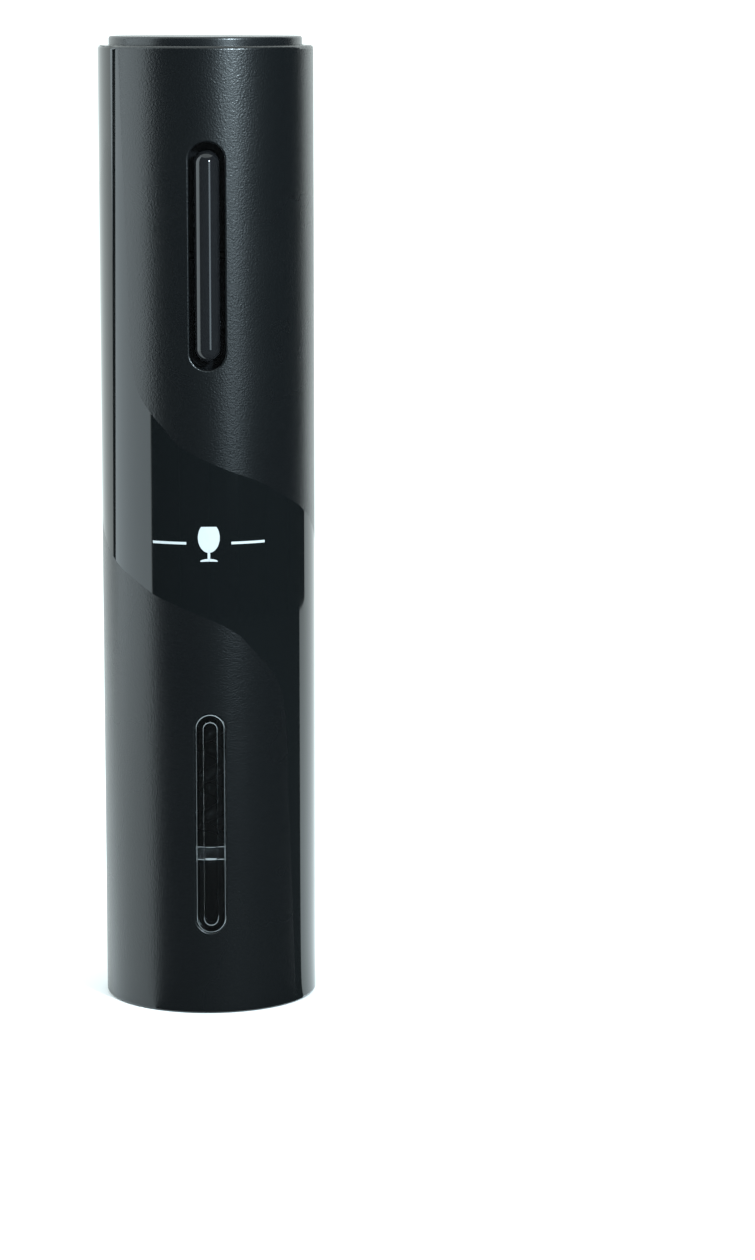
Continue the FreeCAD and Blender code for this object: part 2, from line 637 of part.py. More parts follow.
def frame_screws():
    """Three screws that join the cork guide's flange to the gearbox's."""
    head_low = CHASSIS_TOP + " + 5 * slip"
    shank = cylinder("FrameScrewShank", "chassis_shank", "chassis_low", head_low + " + slip",
                     x="chassis_screw_circle")
    head = cylinder("FrameScrewHead", "chassis_head", head_low,
                    head_low + " + chassis_head_height", x="chassis_screw_circle")
    one = fuse("FrameScrew", shank, head)
    doc.recompute()
    copies = around("FrameScrews", one, DRIVING["chassis_screws"], 90)
    node(fuse("FrameScrewSet", *copies), "frame_screws")


# ---------------------------------------------------------------- motor

def cone(name, low_radius, high_radius, low, high, x):
    item = doc.addObject("Part::Cone", name)
    return bind(item, Radius1=low_radius, Radius2=high_radius,
                Height="(%s) - (%s)" % (high, low), x=x, z=low)


def motor():
    """Cover plate, motor case with its nose, end cap, and two countersunk screws."""
    under, over = "gearbox_top + seat", "gearbox_top + seat + cover_plate"
    plate = tube("CoverPlate", "gearbox_radius", "cover_bore", under, over)
    screws, openings, taps = [], [], []
    for side in ("Left", "Right"):
        x = ("-" if side == "Left" else "") + "motor_screw_side"
        openings.append(cylinder("CoverHole" + side, "1.05", under + " - 1", over + " + 1", x=x))
        openings.append(cone("CoverSink" + side, "2.05", "1.05", under, under + " + 1", x))
        screws.append(cone("MotorScrewHead" + side, "1.95", "0.9", under + " + 0.02",
                           under + " + 1.05", x))
        screws.append(cylinder("MotorScrewShank" + side, "0.9", under + " + 1", "motor_low + 3", x=x))
        taps.append(cylinder("MotorTap" + side, "0.95", "motor_low", "motor_low + 3.2", x=x))
    node(cut("GearboxCover", plate, *openings), "gearbox_cover")
    node(fuse("MotorScrews", *screws), "motor_screws")
    bore = "motor_shaft + slip"
    body = turned("MotorBody", [
        ("0", "motor_low + motor_bore_top"), (bore, "motor_low + motor_bore_top"),
        (bore, "motor_low - motor_nose_reach"), ("motor_nose", "motor_low - motor_nose_reach"),
        ("motor_nose", "motor_low + seat"), ("motor_radius - motor_chamfer", "motor_low + seat"),
        ("motor_radius", "motor_low + seat + motor_chamfer"),
        ("motor_radius", "motor_high"), ("0", "motor_high")])
    node(cut("MotorCase", body, *taps), "motor_can")
    rim, step = "motor_radius - 2 * gap", "motor_high + end_cap_step"
    node(turned("MotorEnd", [
        ("0", "motor_high + slip"), (rim, "motor_high + slip"), (rim, step),
        ("end_cap_nose", step), ("end_cap_nose", "end_cap_high"), ("0", "end_cap_high")]),
        "motor_end_cap")


def lead(points, radius):
    """A wire along straight runs joined by tangent arcs."""
    edges, start = [], points[0]
    for before, corner, after in zip(points, points[1:], points[2:]):
        back, ahead = (before - corner).normalize(), (after - corner).normalize()
        reach = 0.45 * min(before.distanceToPoint(corner), after.distanceToPoint(corner))
        bisector = (back + ahead).normalize()
        half = back.getAngle(ahead) / 2
        bend = reach * math.tan(half)
        centre = corner + bisector * (reach / math.cos(half))
        first, last = corner + back * reach, corner + ahead * reach
        edges.append(Part.LineSegment(start, first).toShape())
        edges.append(Part.Arc(first, centre - bisector * bend, last).toShape())
        start = last
    edges.append(Part.LineSegment(start, points[-1]).toShape())
    ring = Part.Wire(Part.makeCircle(radius, points[0], points[1] - points[0]))
    return Part.Wire(edges).makePipeShell([ring], True, False)


def leads():
    """Two short wires from the motor and two from the batteries, all ending on the board."""
    board, terminal = -size("board_back") + 0.05, size("motor_high") + 1.5
    floor = size("holder_low") - 0.05
    for label, places in (
            ("motor_leads", ((4.0, -9.4, terminal), (4.0, -9.4, terminal + 1.6),
                             (4.0, -13.9, terminal + 1.2), (4.0, -14.0, terminal - 5.2),
                             (4.0, board, terminal - 5.2))),
            ("battery_leads", ((1.4, -14.3, floor), (1.4, -14.3, floor - 3.2),
                               (1.4, board, floor - 3.2)))):
        wires = [lead([Vector(side * x, y, z) for x, y, z in places], DRIVING["lead_radius"])
                 for side in (-1, 1)]
        shaped(label.title().replace("_", ""), Part.makeCompound(wires), label)


# ---------------------------------------------------------------- batteries

def d_block(name, radius, front, low, high):
    """A round bar cut flat at the front."""
    return common(name, cylinder(name + "Round", radius, low, high),
                  block(name + "Flat", ("-shell_radius", "shell_radius"),
                        ("-(%s)" % front, "shell_radius"), (low, high)))


def battery_holder():
    outer = d_block("HolderOuter", "holder_radius", "holder_front", "holder_low", "holder_top")
    inner = d_block("HolderInner", "holder_radius - holder_wall",
                    "holder_front - holder_front_wall", "holder_low + holder_floor",
                    "holder_top + 5")
    ears = common(
        "HolderEars",
        tube("HolderEarRing", "holder_radius", "holder_radius - holder_wall", "holder_top - 2",
             "plate_high - 0.3"),
        block("HolderEarWidth", ("-shell_radius", "shell_radius"), ("-ear_half", "ear_half"),
              ("holder_top - 3", "cap_top")))
    post = cylinder("HolderPost", "holder_post", "holder_low + 1", "holder_top - 6")
    node(fuse("BatteryHolder", cut("HolderShell", outer, inner), ears, post), "battery_holder")


def battery_cells():
    """Four round cells in a square, the positive caps up and down by turns."""
    corners = [(-1, -1), (1, -1), (1, 1), (-1, 1)]
    for index, (side, depth) in enumerate(corners):
        x, y = "%d * cell_offset" % side, "%d * cell_offset" % depth
        name = "Cell%d" % (index + 1)
        top = "cell_low + cell_length"
        if index % 2 == 0:
            can = cylinder(name + "Can", "cell_radius", "cell_low", top + " - nub_height", x, y)
            nub = cylinder(name + "Nub", "nub_radius", top + " - nub_height - slip", top, x, y)
        else:
            can = cylinder(name + "Can", "cell_radius", "cell_low + nub_height", top, x, y)
            nub = cylinder(name + "Nub", "nub_radius", "cell_low", "cell_low + nub_height + slip",
                           x, y)
        node(fuse(name, can, nub), "battery_cell_%d" % (index + 1))


def strip(name, ends, low, high):
    """A flat metal strip from one cell's middle to another's."""
    spans = [("%d * cell_offset - strip_half" % min(places), "%d * cell_offset + strip_half" % max(places))
             for places in zip(*ends)]
    return block(name, *spans, (low, high))


def bump(name, corner, low, high, low_radius, high_radius):
    item = cone(name, low_radius, high_radius, low, high, "%d * cell_offset" % corner[0])
    return bind(item, y="%d * cell_offset" % corner[1])


def contacts():
    """Sprung strips under the cells, and those that the cap's plate presses on them."""
    floor, under = "holder_low + holder_floor + slip", "plate_low - slip / 5"
    lower = [strip("LowerPair", ((1, -1), (1, 1)), floor, floor + " + strip_thick"),
             strip("LowerStart", ((-1, -1), (-1, -1)), floor, floor + " + strip_thick"),
             strip("LowerEnd", ((-1, 1), (-1, 1)), floor, floor + " + strip_thick")]
    lower += [bump("LowerBump%d" % index, corner, floor + " + strip_thick / 2",
                   "cell_low - slip", "bump_wide", "bump_narrow")
              for index, corner in enumerate(((-1, -1), (1, 1), (1, -1), (-1, 1)))]
    node(fuse("LowerContacts", *lower), "lower_contacts")
    upper = [strip("UpperFront", ((-1, -1), (1, -1)), under + " - strip_thick", under),
             strip("UpperBack", ((-1, 1), (1, 1)), under + " - strip_thick", under)]
    upper += [bump("UpperBump%d" % index, corner, "cell_low + cell_length + slip",
                   under + " - strip_thick / 2", "bump_narrow", "bump_wide")
              for index, corner in enumerate(((-1, -1), (1, 1), (1, -1), (-1, 1)))]
    node(fuse("CapContacts", *upper), "cap_contacts")


# ---------------------------------------------------------------- switch

def switch_tray():
    """The dark recess behind the upper slot, which carries the rocker's hinge pin."""
    middle = "switch_slot_middle"
    solid = common(
        "TraySolid",
        cylinder("TrayRound", "%s - seat" % INNER, "%s - tray_length / 2" % middle,
                 "%s + tray_length / 2" % middle),
        block("TrayBlock", ("-tray_width / 2", "tray_width / 2"), (OUTSIDE, "-tray_back"),
              ("%s - tray_length / 2" % middle, "%s + tray_length / 2" % middle)))
    feet = [block("TrayFoot%d" % index, ("-tray_width / 2", "tray_width / 2"),
                  ("-tray_back - 0.1", "-board_front - seat"), (low, "%s + tray_foot" % low))
            for index, low in enumerate(("%s - tray_length / 2" % middle,
                                         "%s + tray_length / 2 - tray_foot" % middle))]
    pocket = racetrack("TrayPocket", "switch_slot_width", "slot_length", middle,
                       OUTSIDE, "-tray_floor")
    half = "switch_size / 2 + switch_room"
    windows = [block("TrayWindow%d" % index, ("-(%s)" % half, half), ("-shell_radius", BEHIND_WALL),
                     ("%s - (%s)" % (level, half), "%s + %s" % (level, half)))
               for index, level in enumerate(push_levels())]
    pin_hole = side_cylinder("TrayPinHole", "hinge_pin", "tray_width - 1", "-hinge_depth", middle)
    relief = block("TrayRelief", ("-lug_width / 2 - lug_room", "lug_width / 2 + lug_room"),
                   ("-shell_radius", BEHIND_WALL),
                   ("%s - hinge_relief" % middle, "%s + hinge_relief" % middle))
    taps = tray_screw_bars("TrayTap", "tray_tap", "-tray_floor - gap", BEHIND_WALL)
    node(cut("SwitchTray", fuse("TrayAndFeet", solid, *feet), pocket, pin_hole, relief,
             *(windows + taps)), "switch_tray")


def push_levels():
    return ["switch_slot_middle - push_height", "switch_slot_middle + push_height"]


def tray_screw_levels():
    return ["switch_slot_middle - tray_length / 2 + tray_screw_inset",
            "switch_slot_middle + tray_length / 2 - tray_screw_inset"]


def tray_screw_bars(name, radius, near, far):
    return [cross_cylinder("%s%d" % (name, index), radius, near, far, "0", level)
            for index, level in enumerate(tray_screw_levels())]


def rocker():
    """A long round-faced bar with ball ends, hinged at its middle, with two studs behind."""
    middle = "switch_slot_middle"
    radius, axis = "bar_width / 2", "bar_width / 2 - bar_crest"
    reach = "(bar_length - bar_width) / 2"
    rod = doc.addObject("Part::Cylinder", "BarRod")
    bind(rod, Radius=radius, Height="2 * " + reach, y=axis, z="%s - %s" % (middle, reach))
    balls = []
    for end, place in (("Low", "%s - %s" % (middle, reach)), ("High", "%s + %s" % (middle, reach))):
        ball = doc.addObject("Part::Sphere", "BarBall" + end)
        balls.append(bind(ball, Radius=radius, y=axis, z=place))
    front = block("BarFront", ("-bar_width", "bar_width"), ("-bar_crest - 1", "-bar_back"),
                  ("%s - bar_length" % middle, "%s + bar_length" % middle))
    face = common("BarFace", fuse("BarCapsule", rod, *balls), front)
    bar = fuse("Bar", face, racetrack("BarBase", "bar_width", "bar_length", middle,
                                      "%s" % axis, "-bar_back"))
    lug = side_cylinder("BarLug", "lug_radius", "lug_width", "-hinge_depth", middle)
    neck = block("BarNeck", ("-lug_width / 2", "lug_width / 2"), ("-bar_back - 0.4", "-hinge_depth"),
                 ("%s - lug_radius" % middle, "%s + lug_radius" % middle))
    studs = [cross_cylinder("BarStud%d" % index, "stud_radius", "-bar_back - 0.4", "-push_face - 0.1",
                            "0", level) for index, level in enumerate(push_levels())]
    bore = side_cylinder("BarBore", "hinge_pin + slip", "lug_width + 2", "-hinge_depth", middle)
    node(cut("Rocker", fuse("RockerSolid", bar, lug, neck, *studs), bore), "rocker_button")
    node(side_cylinder("RockerPin", "hinge_pin", "tray_width - 1.2", "-hinge_depth", middle),
         "rocker_pin")


def switches():
    middle = "switch_slot_middle"
    board = block("BoardPlate", ("-board_width / 2", "board_width / 2"),
                  ("-board_front", "-board_back"),
                  ("%s - tray_length / 2" % middle, "%s + tray_length / 2" % middle))
    node(cut("SwitchBoard", board, *tray_screw_bars("BoardHole", "board_bore", "-20", "-10")),
         "switch_board")
    cases = []
    for index, level in enumerate(push_levels()):
        case = block("SwitchCase%d" % index, ("-switch_size / 2", "switch_size / 2"),
                     ("-switch_front", "-board_front - 0.01"),
                     ("%s - switch_size / 2" % level, "%s + switch_size / 2" % level))
        bore = cross_cylinder("SwitchBore%d" % index, "push_radius + slip", "-20",
                              "-board_front - 0.01", "0", level)
        cases.append(cut("PushSwitch%d" % index, case, bore))
        plunger = cross_cylinder("Plunger%d" % index, "push_radius", "-push_face", "-push_inner",
                                 "0", level)
        node(plunger, ("lower_plunger", "upper_plunger")[index])
    node(fuse("PushSwitches", *cases), "push_switches")
    heads = tray_screw_bars("TrayScrewHead", "tray_head", "-board_back + 0.02",
                            "-board_back + 0.45")
    shanks = tray_screw_bars("TrayScrewShank", "tray_shank", "-tray_floor - 0.1",
                             "-board_back + 0.1")
    node(fuse("TrayScrews", *(heads + shanks)), "tray_screws")


# ---------------------------------------------------------------- battery cap

def helical_channel():
    """One channel for a cap lug: it climbs as it turns, and opens at the collar's top."""
    half = size("lug_pin + gap")
    inner, outer = size("collar_inner") - 0.5, size("lug_pin_reach + gap")
    rise, sweep = size("cap_rise"), size("cap_turn")
    path = Part.Wire(Part.makeHelix(rise * 360.0 / sweep, rise, (inner + outer) / 2))
    section = Part.makePolygon([
        Vector(inner, 0, -half), Vector(outer, 0, -half), Vector(outer, 0, half),
        Vector(inner, 0, half), Vector(inner, 0, -half)])
    channel = path.makePipeShell([section], True, True)
    end = Part.makeCylinder(half, outer - inner, Vector(inner, 0, 0), Vector(1, 0, 0))
    channel = channel.fuse(end)
    channel.translate(Vector(0, 0, size("lug_pin_level")))
    return channel


def cap_collar():
    ring = tube("CollarRing", "collar_outer", "collar_inner", "collar_low", "collar_top")
    doc.recompute()
    shape = ring.Shape
    channel = helical_channel()
    count = DRIVING["cap_lugs"]
    for index in range(count):
        turned_by = 360.0 / count * index
        shape = shape.cut(channel.rotated(Vector(), Vector(0, 0, 1), turned_by))
    shaped("CapCollar", shape, "cap_collar")


def battery_cap():
    """A low round lid with a skirt, three lugs and a centre boss for the contact plate."""
    skirt_inner = "skirt_radius - skirt_wall"
    body = doc.addObject("PartDesign::Body", "CapLid")
    turn(body, "CapLidTurned", [
        ("0", "cap_top - cap_skin"), ("cap_pilot", "cap_top - cap_skin"),
        ("cap_pilot", "plate_high - 1"), ("cap_spigot", "plate_high - 1"),
        ("cap_spigot", "plate_high + 5 * slip"), ("cap_boss", "plate_high + 5 * slip"),
        ("cap_boss", "cap_under + 2 * seat"), (skirt_inner, "cap_under + 2 * seat"),
        (skirt_inner, "skirt_low"), ("skirt_radius", "skirt_low"), ("skirt_radius", "cap_under"),
        ("cap_radius", "cap_under"), ("cap_radius", "cap_top - cap_crown"), ("0", "cap_top")])
    round_rims(body, "CapRim", "cap_round",
               lambda circle: circle.Radius > size("cap_radius") - 0.01
               and circle.Center.z > size("cap_top") - 0.5)
    doc.recompute()
    lug = Part.makeCylinder(size("lug_pin"), size("lug_pin_reach") - size(skirt_inner) - 0.2,
                            Vector(size(skirt_inner) + 0.2, 0, size("lug_pin_level")),
                            Vector(1, 0, 0))
    count = DRIVING["cap_lugs"]
    lugs = [lug.rotated(Vector(), Vector(0, 0, 1), 360.0 / count * index)
            for index in range(count)]
    shaped("BatteryCap", body.Shape.fuse(lugs), "battery_cap")
    head = cylinder("CapScrewHead", "cap_screw_head", "plate_low - 0.9", "plate_low - slip")
    shank = cylinder("CapScrewShank", "cap_screw_shank", "plate_low - 2 * slip",
                     "cap_top - cap_skin - 2 * slip")
    node(fuse("CapScrew", head, shank), "cap_screw")


def contact_plate():
    disc = cylinder("PlateDisc", "plate_radius", "plate_low", "plate_high")
    hole = cylinder("PlateHole", "cap_spigot + slip", "plate_low - 1", "plate_high + 1")
    notches = block("PlateNotches", ("-shell_radius", "shell_radius"),
                    ("-ear_half - gap", "ear_half + gap"), ("plate_low - 1", "plate_high + 1"))
    keep = cylinder("PlateNotchKeep", "holder_radius - holder_wall - 0.3", "plate_low - 2",
                    "plate_high + 2")
    node(cut("ContactPlate", disc, hole, cut("PlateNotchCut", notches, keep)), "contact_plate")


# ---------------------------------------------------------------- assembly

shells()
window()
nose_guide()
neck_ring()
cork_guide()
corkscrew()
worm_hub()
gear_train()
gearbox_case()
frame_screws()
motor()
battery_holder()
battery_cells()
contacts()
leads()
switch_tray()
rocker()
switches()
cap_collar()
battery_cap()
contact_plate()
doc.recompute()

for item in doc.Objects:
    if "Invalid" in item.State or "Error" in item.State:
        raise RuntimeError("%s did not build: %s" % (item.Label, item.State))
for item in nodes:
    if item.Shape.isNull() or not item.Shape.isValid():
        raise RuntimeError("%s has no valid shape" % item.Label)

os.makedirs("parts", exist_ok=True)
for item in nodes:
    item.Shape.exportStep("parts/%s.step" % item.Label)
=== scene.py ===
"""The looks of an electric wine opener: finishes, printed mark, stage, lights and camera."""
import math

import bpy
from bpy.props import FloatProperty, FloatVectorProperty, PointerProperty
from bpy.types import Operator, Panel, PropertyGroup
from mathutils import Euler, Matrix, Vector


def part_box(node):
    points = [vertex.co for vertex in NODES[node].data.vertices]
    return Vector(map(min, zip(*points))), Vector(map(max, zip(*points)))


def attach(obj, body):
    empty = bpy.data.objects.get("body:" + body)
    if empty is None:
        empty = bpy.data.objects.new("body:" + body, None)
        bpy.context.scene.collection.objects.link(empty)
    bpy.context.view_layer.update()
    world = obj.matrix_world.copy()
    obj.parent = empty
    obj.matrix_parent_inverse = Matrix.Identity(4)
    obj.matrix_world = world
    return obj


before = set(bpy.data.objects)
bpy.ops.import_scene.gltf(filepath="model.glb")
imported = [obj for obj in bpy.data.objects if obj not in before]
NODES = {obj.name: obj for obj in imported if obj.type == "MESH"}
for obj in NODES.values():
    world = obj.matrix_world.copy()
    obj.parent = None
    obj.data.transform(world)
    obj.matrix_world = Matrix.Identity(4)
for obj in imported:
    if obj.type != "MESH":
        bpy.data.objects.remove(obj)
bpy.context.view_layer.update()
CASING_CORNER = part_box("front_shell")[1]
RADIUS = CASING_CORNER[0]
HEIGHT = CASING_CORNER[2]

bl_info = {
    "name": "Electric Wine Opener",
    "version": (1, 0, 0),
    "blender": (4, 5, 0),
    "location": "View3D > Sidebar > Wine Opener",
    "description": "Finishes, printed mark and stage for an electric wine opener",
    "category": "Object",
}

# The casing's gloss band crosses the front like a flattened S.  Its upper edge, as
# (height in mm, angle from the front in degrees); the lower edge mirrors it.
BAND_EDGE = [(0, 130), (35, 126.5), (60, 122), (77, 116), (91, 107), (101.5, 95), (109, 80),
             (115.5, 60), (119.7, 40.5), (121.8, 32), (125.4, 11), (128, -3), (131, -15.5),
             (134.8, -24), (138.8, -33), (143.3, -40.5), (150, -44.5), (170, -47), (195, -50),
             (219.8, -53)]
BAND_MIDDLE = 109.5

# The window: its middle, its straight run, the radii of its painted highlight lines along
# its edge and its bead, and the levels of the two painted glint lines across it.
WINDOW_LEVEL = 0.0444
WINDOW_RUN = 0.0440
WINDOW_EDGE = 0.00326
BEAD_EDGE = 0.00164
RING_GLINT_LEVELS = (0.0362, 0.0391)

# New pieces start this far in front of the casing, before they are laid on it.
STANDOFF = 0.002
ARC_SIDES = 48

# The stage: cards stand round the handle to keep its front dark, and two lie on the floor.
FRONT_CARDS = range(-46, 110, 31)
FLOOR_CARD = 0.9
FLOOR_SEAM = 26


# ------------------------------------------------------------------ sizes and colours

class CasingSettings(PropertyGroup):
    """Colours and textures of the casing."""
    gloss_colour: FloatVectorProperty(
        name="Gloss Band", description="Colour of the polished band", subtype="COLOR",
        size=3, min=0, max=1, default=(0.0030, 0.0038, 0.0042))
    satin_colour: FloatVectorProperty(
        name="Satin Fields", description="Colour of the fine-grained fields", subtype="COLOR",
        size=3, min=0, max=1, default=(0.0028, 0.0036, 0.0042))
    grain_size: FloatProperty(
        name="Grain Size", description="Size of the satin fields' grain", unit="LENGTH",
        min=0.0001, max=0.002, default=0.00040)
    grain_depth: FloatProperty(
        name="Grain Depth", description="Depth of the satin fields' grain", unit="LENGTH",
        min=0, max=0.0005, default=0.00006)


class MarkSettings(PropertyGroup):
    """The printed mark on the front."""
    height: FloatProperty(
        name="Height", description="Height of the glass in the mark", unit="LENGTH",
        min=0.002, max=0.02, default=0.0082)
    middle: FloatProperty(
        name="Level", description="Height of the mark's middle above the rim", unit="LENGTH",
        min=0.02, max=0.2, default=0.109)
    span: FloatProperty(
        name="Span", description="Whole width of the mark", unit="LENGTH",
        min=0.01, max=0.04, default=0.0252)
    ink: FloatVectorProperty(
        name="Ink", description="Colour of the printed ink", subtype="COLOR",
        size=3, min=0, max=1, default=(0.34, 0.365, 0.375))


class StageSettings(PropertyGroup):
    """The camera and the floor."""
    lens: FloatProperty(
        name="Lens", description="Focal length on a 36 mm frame", unit="CAMERA",
        min=20, max=300, default=112.3)
    distance: FloatProperty(
        name="Distance", description="Camera distance from the handle's axis", unit="LENGTH",
        min=0.3, max=3, default=0.9025)
    camera_height: FloatProperty(
        name="Camera Height", description="Camera height above the floor", unit="LENGTH",
        min=0, max=2, default=0.2307)
    tilt: FloatProperty(
        name="Tilt", description="Angle that the camera looks down", subtype="ANGLE",
        min=-1.5, max=1.5, default=math.radians(9.16))
    turn: FloatProperty(
        name="Turn", description="Angle that the camera looks to the right", subtype="ANGLE",
        min=-1.5, max=1.5, default=math.radians(2.48))
    floor_colour: FloatVectorProperty(
        name="Floor", description="Colour of the floor", subtype="COLOR",
        size=3, min=0, max=1, default=(0.92, 0.92, 0.92))


# ------------------------------------------------------------------ finishes

class Finish:
    """One node material, put together step by step around its main shader."""

    def __init__(self, name, colour, roughness, metallic=0.0):
        self.material = bpy.data.materials.new(name)
        self.material.use_nodes = True
        self.material.diffuse_color = (*colour, 1)
        self.tree = self.material.node_tree
        self.shader = self.tree.nodes["Principled BSDF"]
        self.shader.inputs["Base Color"].default_value = (*colour, 1)
        self.shader.inputs["Roughness"].default_value = roughness
        self.shader.inputs["Metallic"].default_value = metallic
        self.place = self.add("TexCoord").outputs["Object"]

    def add(self, kind, inputs=None, **settings):
        """A node of a kind, with values or other nodes' outputs on its inputs."""
        node = self.tree.nodes.new("ShaderNode" + kind)
        for name, value in settings.items():
            setattr(node, name, value)
        for socket, value in (inputs or {}).items():
            self.join(value, node.inputs[socket])
        return node

    def join(self, value, socket):
        if isinstance(value, bpy.types.NodeSocket):
            self.tree.links.new(value, socket)
        else:
            socket.default_value = value

    def drive(self, socket, value):
        """Set or feed one of the main shader's inputs."""
        self.join(value, self.shader.inputs[socket])

    def math(self, operation, first, second=0.0, third=0.0, clamp=False):
        node = self.add("Math", {0: first, 1: second, 2: third}, operation=operation,
                        use_clamp=clamp)
        return node.outputs[0]

    def spans(self, value, low, high, to_low, to_high):
        """Carry a value from one span to another."""
        node = self.add("MapRange", {"Value": value, "From Min": low, "From Max": high,
                                     "To Min": to_low, "To Max": to_high})
        return node.outputs["Result"]

    def blend(self, share, first, second):
        """A colour between two others."""
        node = self.add("Mix", {0: share, 6: first, 7: second}, data_type="RGBA")
        return node.outputs[2]

    def stretch(self, along):
        """The object's own place with each direction scaled, for drawn or brushed lines."""
        return self.add("Mapping", {"Vector": self.place, "Scale": along}).outputs["Vector"]

    def noise(self, feature, detail=2.0, place=None):
        """Cloudy noise whose lumps are about as large as the feature, in metres."""
        node = self.add("TexNoise", {"Vector": place or self.place, "Scale": 1.0 / feature,
                                     "Detail": detail})
        return node.outputs["Fac"]

    def bump(self, value, depth, strength=1.0):
        node = self.add("Bump", {"Height": value, "Distance": depth, "Strength": strength})
        self.drive("Normal", node.outputs["Normal"])


def shade_of(colour, amount):
    """A colour made darker or lighter."""
    return tuple(min(1.0, part * amount) for part in colour) + (1.0,)


def mottled(name, colour, roughness, feature=0.004, depth=0.0, grain=0.0004, metallic=0.0):
    """A moulded or cast finish: slight colour clouds, uneven gloss and fine grain."""
    finish = Finish(name, colour, roughness, metallic)
    clouds = finish.noise(feature, 4)
    finish.drive("Base Color", finish.blend(clouds, shade_of(colour, 0.82), shade_of(colour, 1.18)))
    fine = finish.noise(grain, 3)
    uneven = finish.math("MULTIPLY", fine, clouds)
    finish.drive("Roughness", finish.spans(uneven, 0.1, 0.5, roughness * 0.8, roughness * 1.25))
    if depth:
        finish.bump(fine, depth)
    return finish


def drawn_metal(name, colour, roughness, along=(1, 1, 0.02), line=0.00012, depth=0.000004):
    """Metal with fine lines: along says how far each direction is stretched."""
    finish = Finish(name, colour, roughness, 1.0)
    lines = finish.noise(line, 3, finish.stretch(along))
    stains = finish.noise(0.003, 3)
    finish.drive("Base Color", finish.blend(stains, shade_of(colour, 0.85), shade_of(colour, 1.1)))
    finish.drive("Roughness", finish.spans(lines, 0.3, 0.7, roughness * 0.7, roughness * 1.35))
    finish.bump(lines, depth)
    return finish


def casing_finish(settings):
    """Black casing: a polished S-shaped band between two satin fields."""
    finish = Finish("casing_black", settings.satin_colour, 0.4)
    across = finish.add("SeparateXYZ", {0: finish.place})
    x, y, z = across.outputs
    angle = finish.math("DEGREES", finish.math("ARCTAN2", x, finish.math("MULTIPLY", y, -1.0)))

    def edge_angle(level):
        """The upper edge's angle at a level, from the casing's edge curve."""
        curve = finish.add("FloatCurve", {"Value": finish.math("DIVIDE", level, HEIGHT)})
        points = curve.mapping.curves[0].points
        places = [(height / 1000 / HEIGHT, turn / 360 + 0.5) for height, turn in BAND_EDGE]
        points[0].location, points[1].location = places[0], places[-1]
        for place in places[1:-1]:
            points.new(*place)
        curve.mapping.update()
        return finish.math("MULTIPLY", finish.math("SUBTRACT", curve.outputs[0], 0.5), 360.0)

    mirrored = finish.math("SUBTRACT", 2 * BAND_MIDDLE / 1000, z)
    under = finish.math("SUBTRACT", edge_angle(z), angle)
    over = finish.math("ADD", edge_angle(mirrored), angle)
    nearest = finish.math("MINIMUM", under, over)
    gloss = finish.math("MULTIPLY_ADD", nearest, 5.0, 0.5, clamp=True)

    clouds = finish.noise(0.03, 3)
    colour = finish.blend(gloss, (*settings.satin_colour, 1), (*settings.gloss_colour, 1))
    finish.drive("Base Color", colour)
    grain = finish.noise(settings.grain_size, 2)
    satin_rough = finish.spans(clouds, 0.3, 0.7, 0.25, 0.29)
    smudge = finish.noise(0.012, 5)
    gloss_rough = finish.spans(smudge, 0.35, 0.75, 0.035, 0.075)
    mixed = finish.add("Mix", {0: gloss, 2: satin_rough, 3: gloss_rough}, data_type="FLOAT")
    finish.drive("Roughness", mixed.outputs[0])
    satin = finish.math("SUBTRACT", 1.0, gloss)
    height = finish.math("MULTIPLY", finish.math("SUBTRACT", grain, 0.5), satin)
    ripple = finish.math("MULTIPLY", finish.noise(0.02, 1), 0.12)
    finish.bump(finish.math("ADD", height, ripple), settings.grain_depth)
    finish.drive("IOR", 1.5)
    return finish.material


def gloss_finish():
    """Polished black moulding, with faint handling marks in its gloss."""
    finish = Finish("switch_black", (0.0065, 0.0068, 0.0078), 0.06)
    smudge = finish.noise(0.006, 5)
    finish.drive("Roughness", finish.spans(smudge, 0.35, 0.75, 0.03, 0.09))
    fine = finish.noise(0.0015, 4)
    finish.drive("Base Color", finish.blend(fine, (0.0055, 0.0058, 0.0065, 1),
                                            (0.0075, 0.008, 0.009, 1)))
    finish.bump(finish.noise(0.009, 1), 0.00002, 0.5)
    return finish.material


def clear_finish():
    """Clear moulded plastic with faint upright scratches."""
    finish = Finish("window_clear", (0.90, 0.93, 0.94), 0.03)
    scratches = finish.noise(0.0004, 4, finish.stretch((1, 1, 0.05)))
    finish.drive("Roughness", finish.spans(scratches, 0.55, 0.8, 0.015, 0.08))
    finish.drive("Base Color", finish.blend(finish.noise(0.003, 2), (0.88, 0.92, 0.93, 1),
                                            (0.93, 0.95, 0.96, 1)))
    finish.drive("Transmission Weight", 1.0)
    finish.drive("IOR", 1.49)
    return finish.material


def edge_highlight_finish():
    """Painted highlights: pale lines along the window's moulded edges, brighter at its two ends, and
    glint lines across it at the soft ring's edges.
    """
    finish = Finish("window_edge_highlight", (0.10, 0.11, 0.115), 0.25)
    z = finish.add("SeparateXYZ", {0: finish.place}).outputs["Z"]
    # Painted highlight: palest at the window's two ends and about half as pale on the glint lines at
    # the ring; along the sides it stays a dim grey.
    past = finish.math("ABSOLUTE", finish.math("SUBTRACT", z, WINDOW_LEVEL))
    ends = finish.spans(past, WINDOW_RUN / 2 - 0.001, WINDOW_RUN / 2 + 0.002, 0.0, 1.0)
    across = finish.math("ABSOLUTE", finish.math("SUBTRACT", z, sum(RING_GLINT_LEVELS) / 2))
    pale = finish.math("MAXIMUM", ends, finish.spans(across, 0.0015, 0.0022, 0.55, 0.0))
    # Noise makes the painted highlight uneven along the lines.
    uneven_highlight = finish.math("MULTIPLY", finish.noise(0.0012, 3), 0.35)
    finish.drive("Base Color", finish.blend(finish.math("ADD", pale, uneven_highlight, clamp=True),
                                            (0.048, 0.053, 0.056, 1), (0.24, 0.26, 0.27, 1)))
    return finish.material


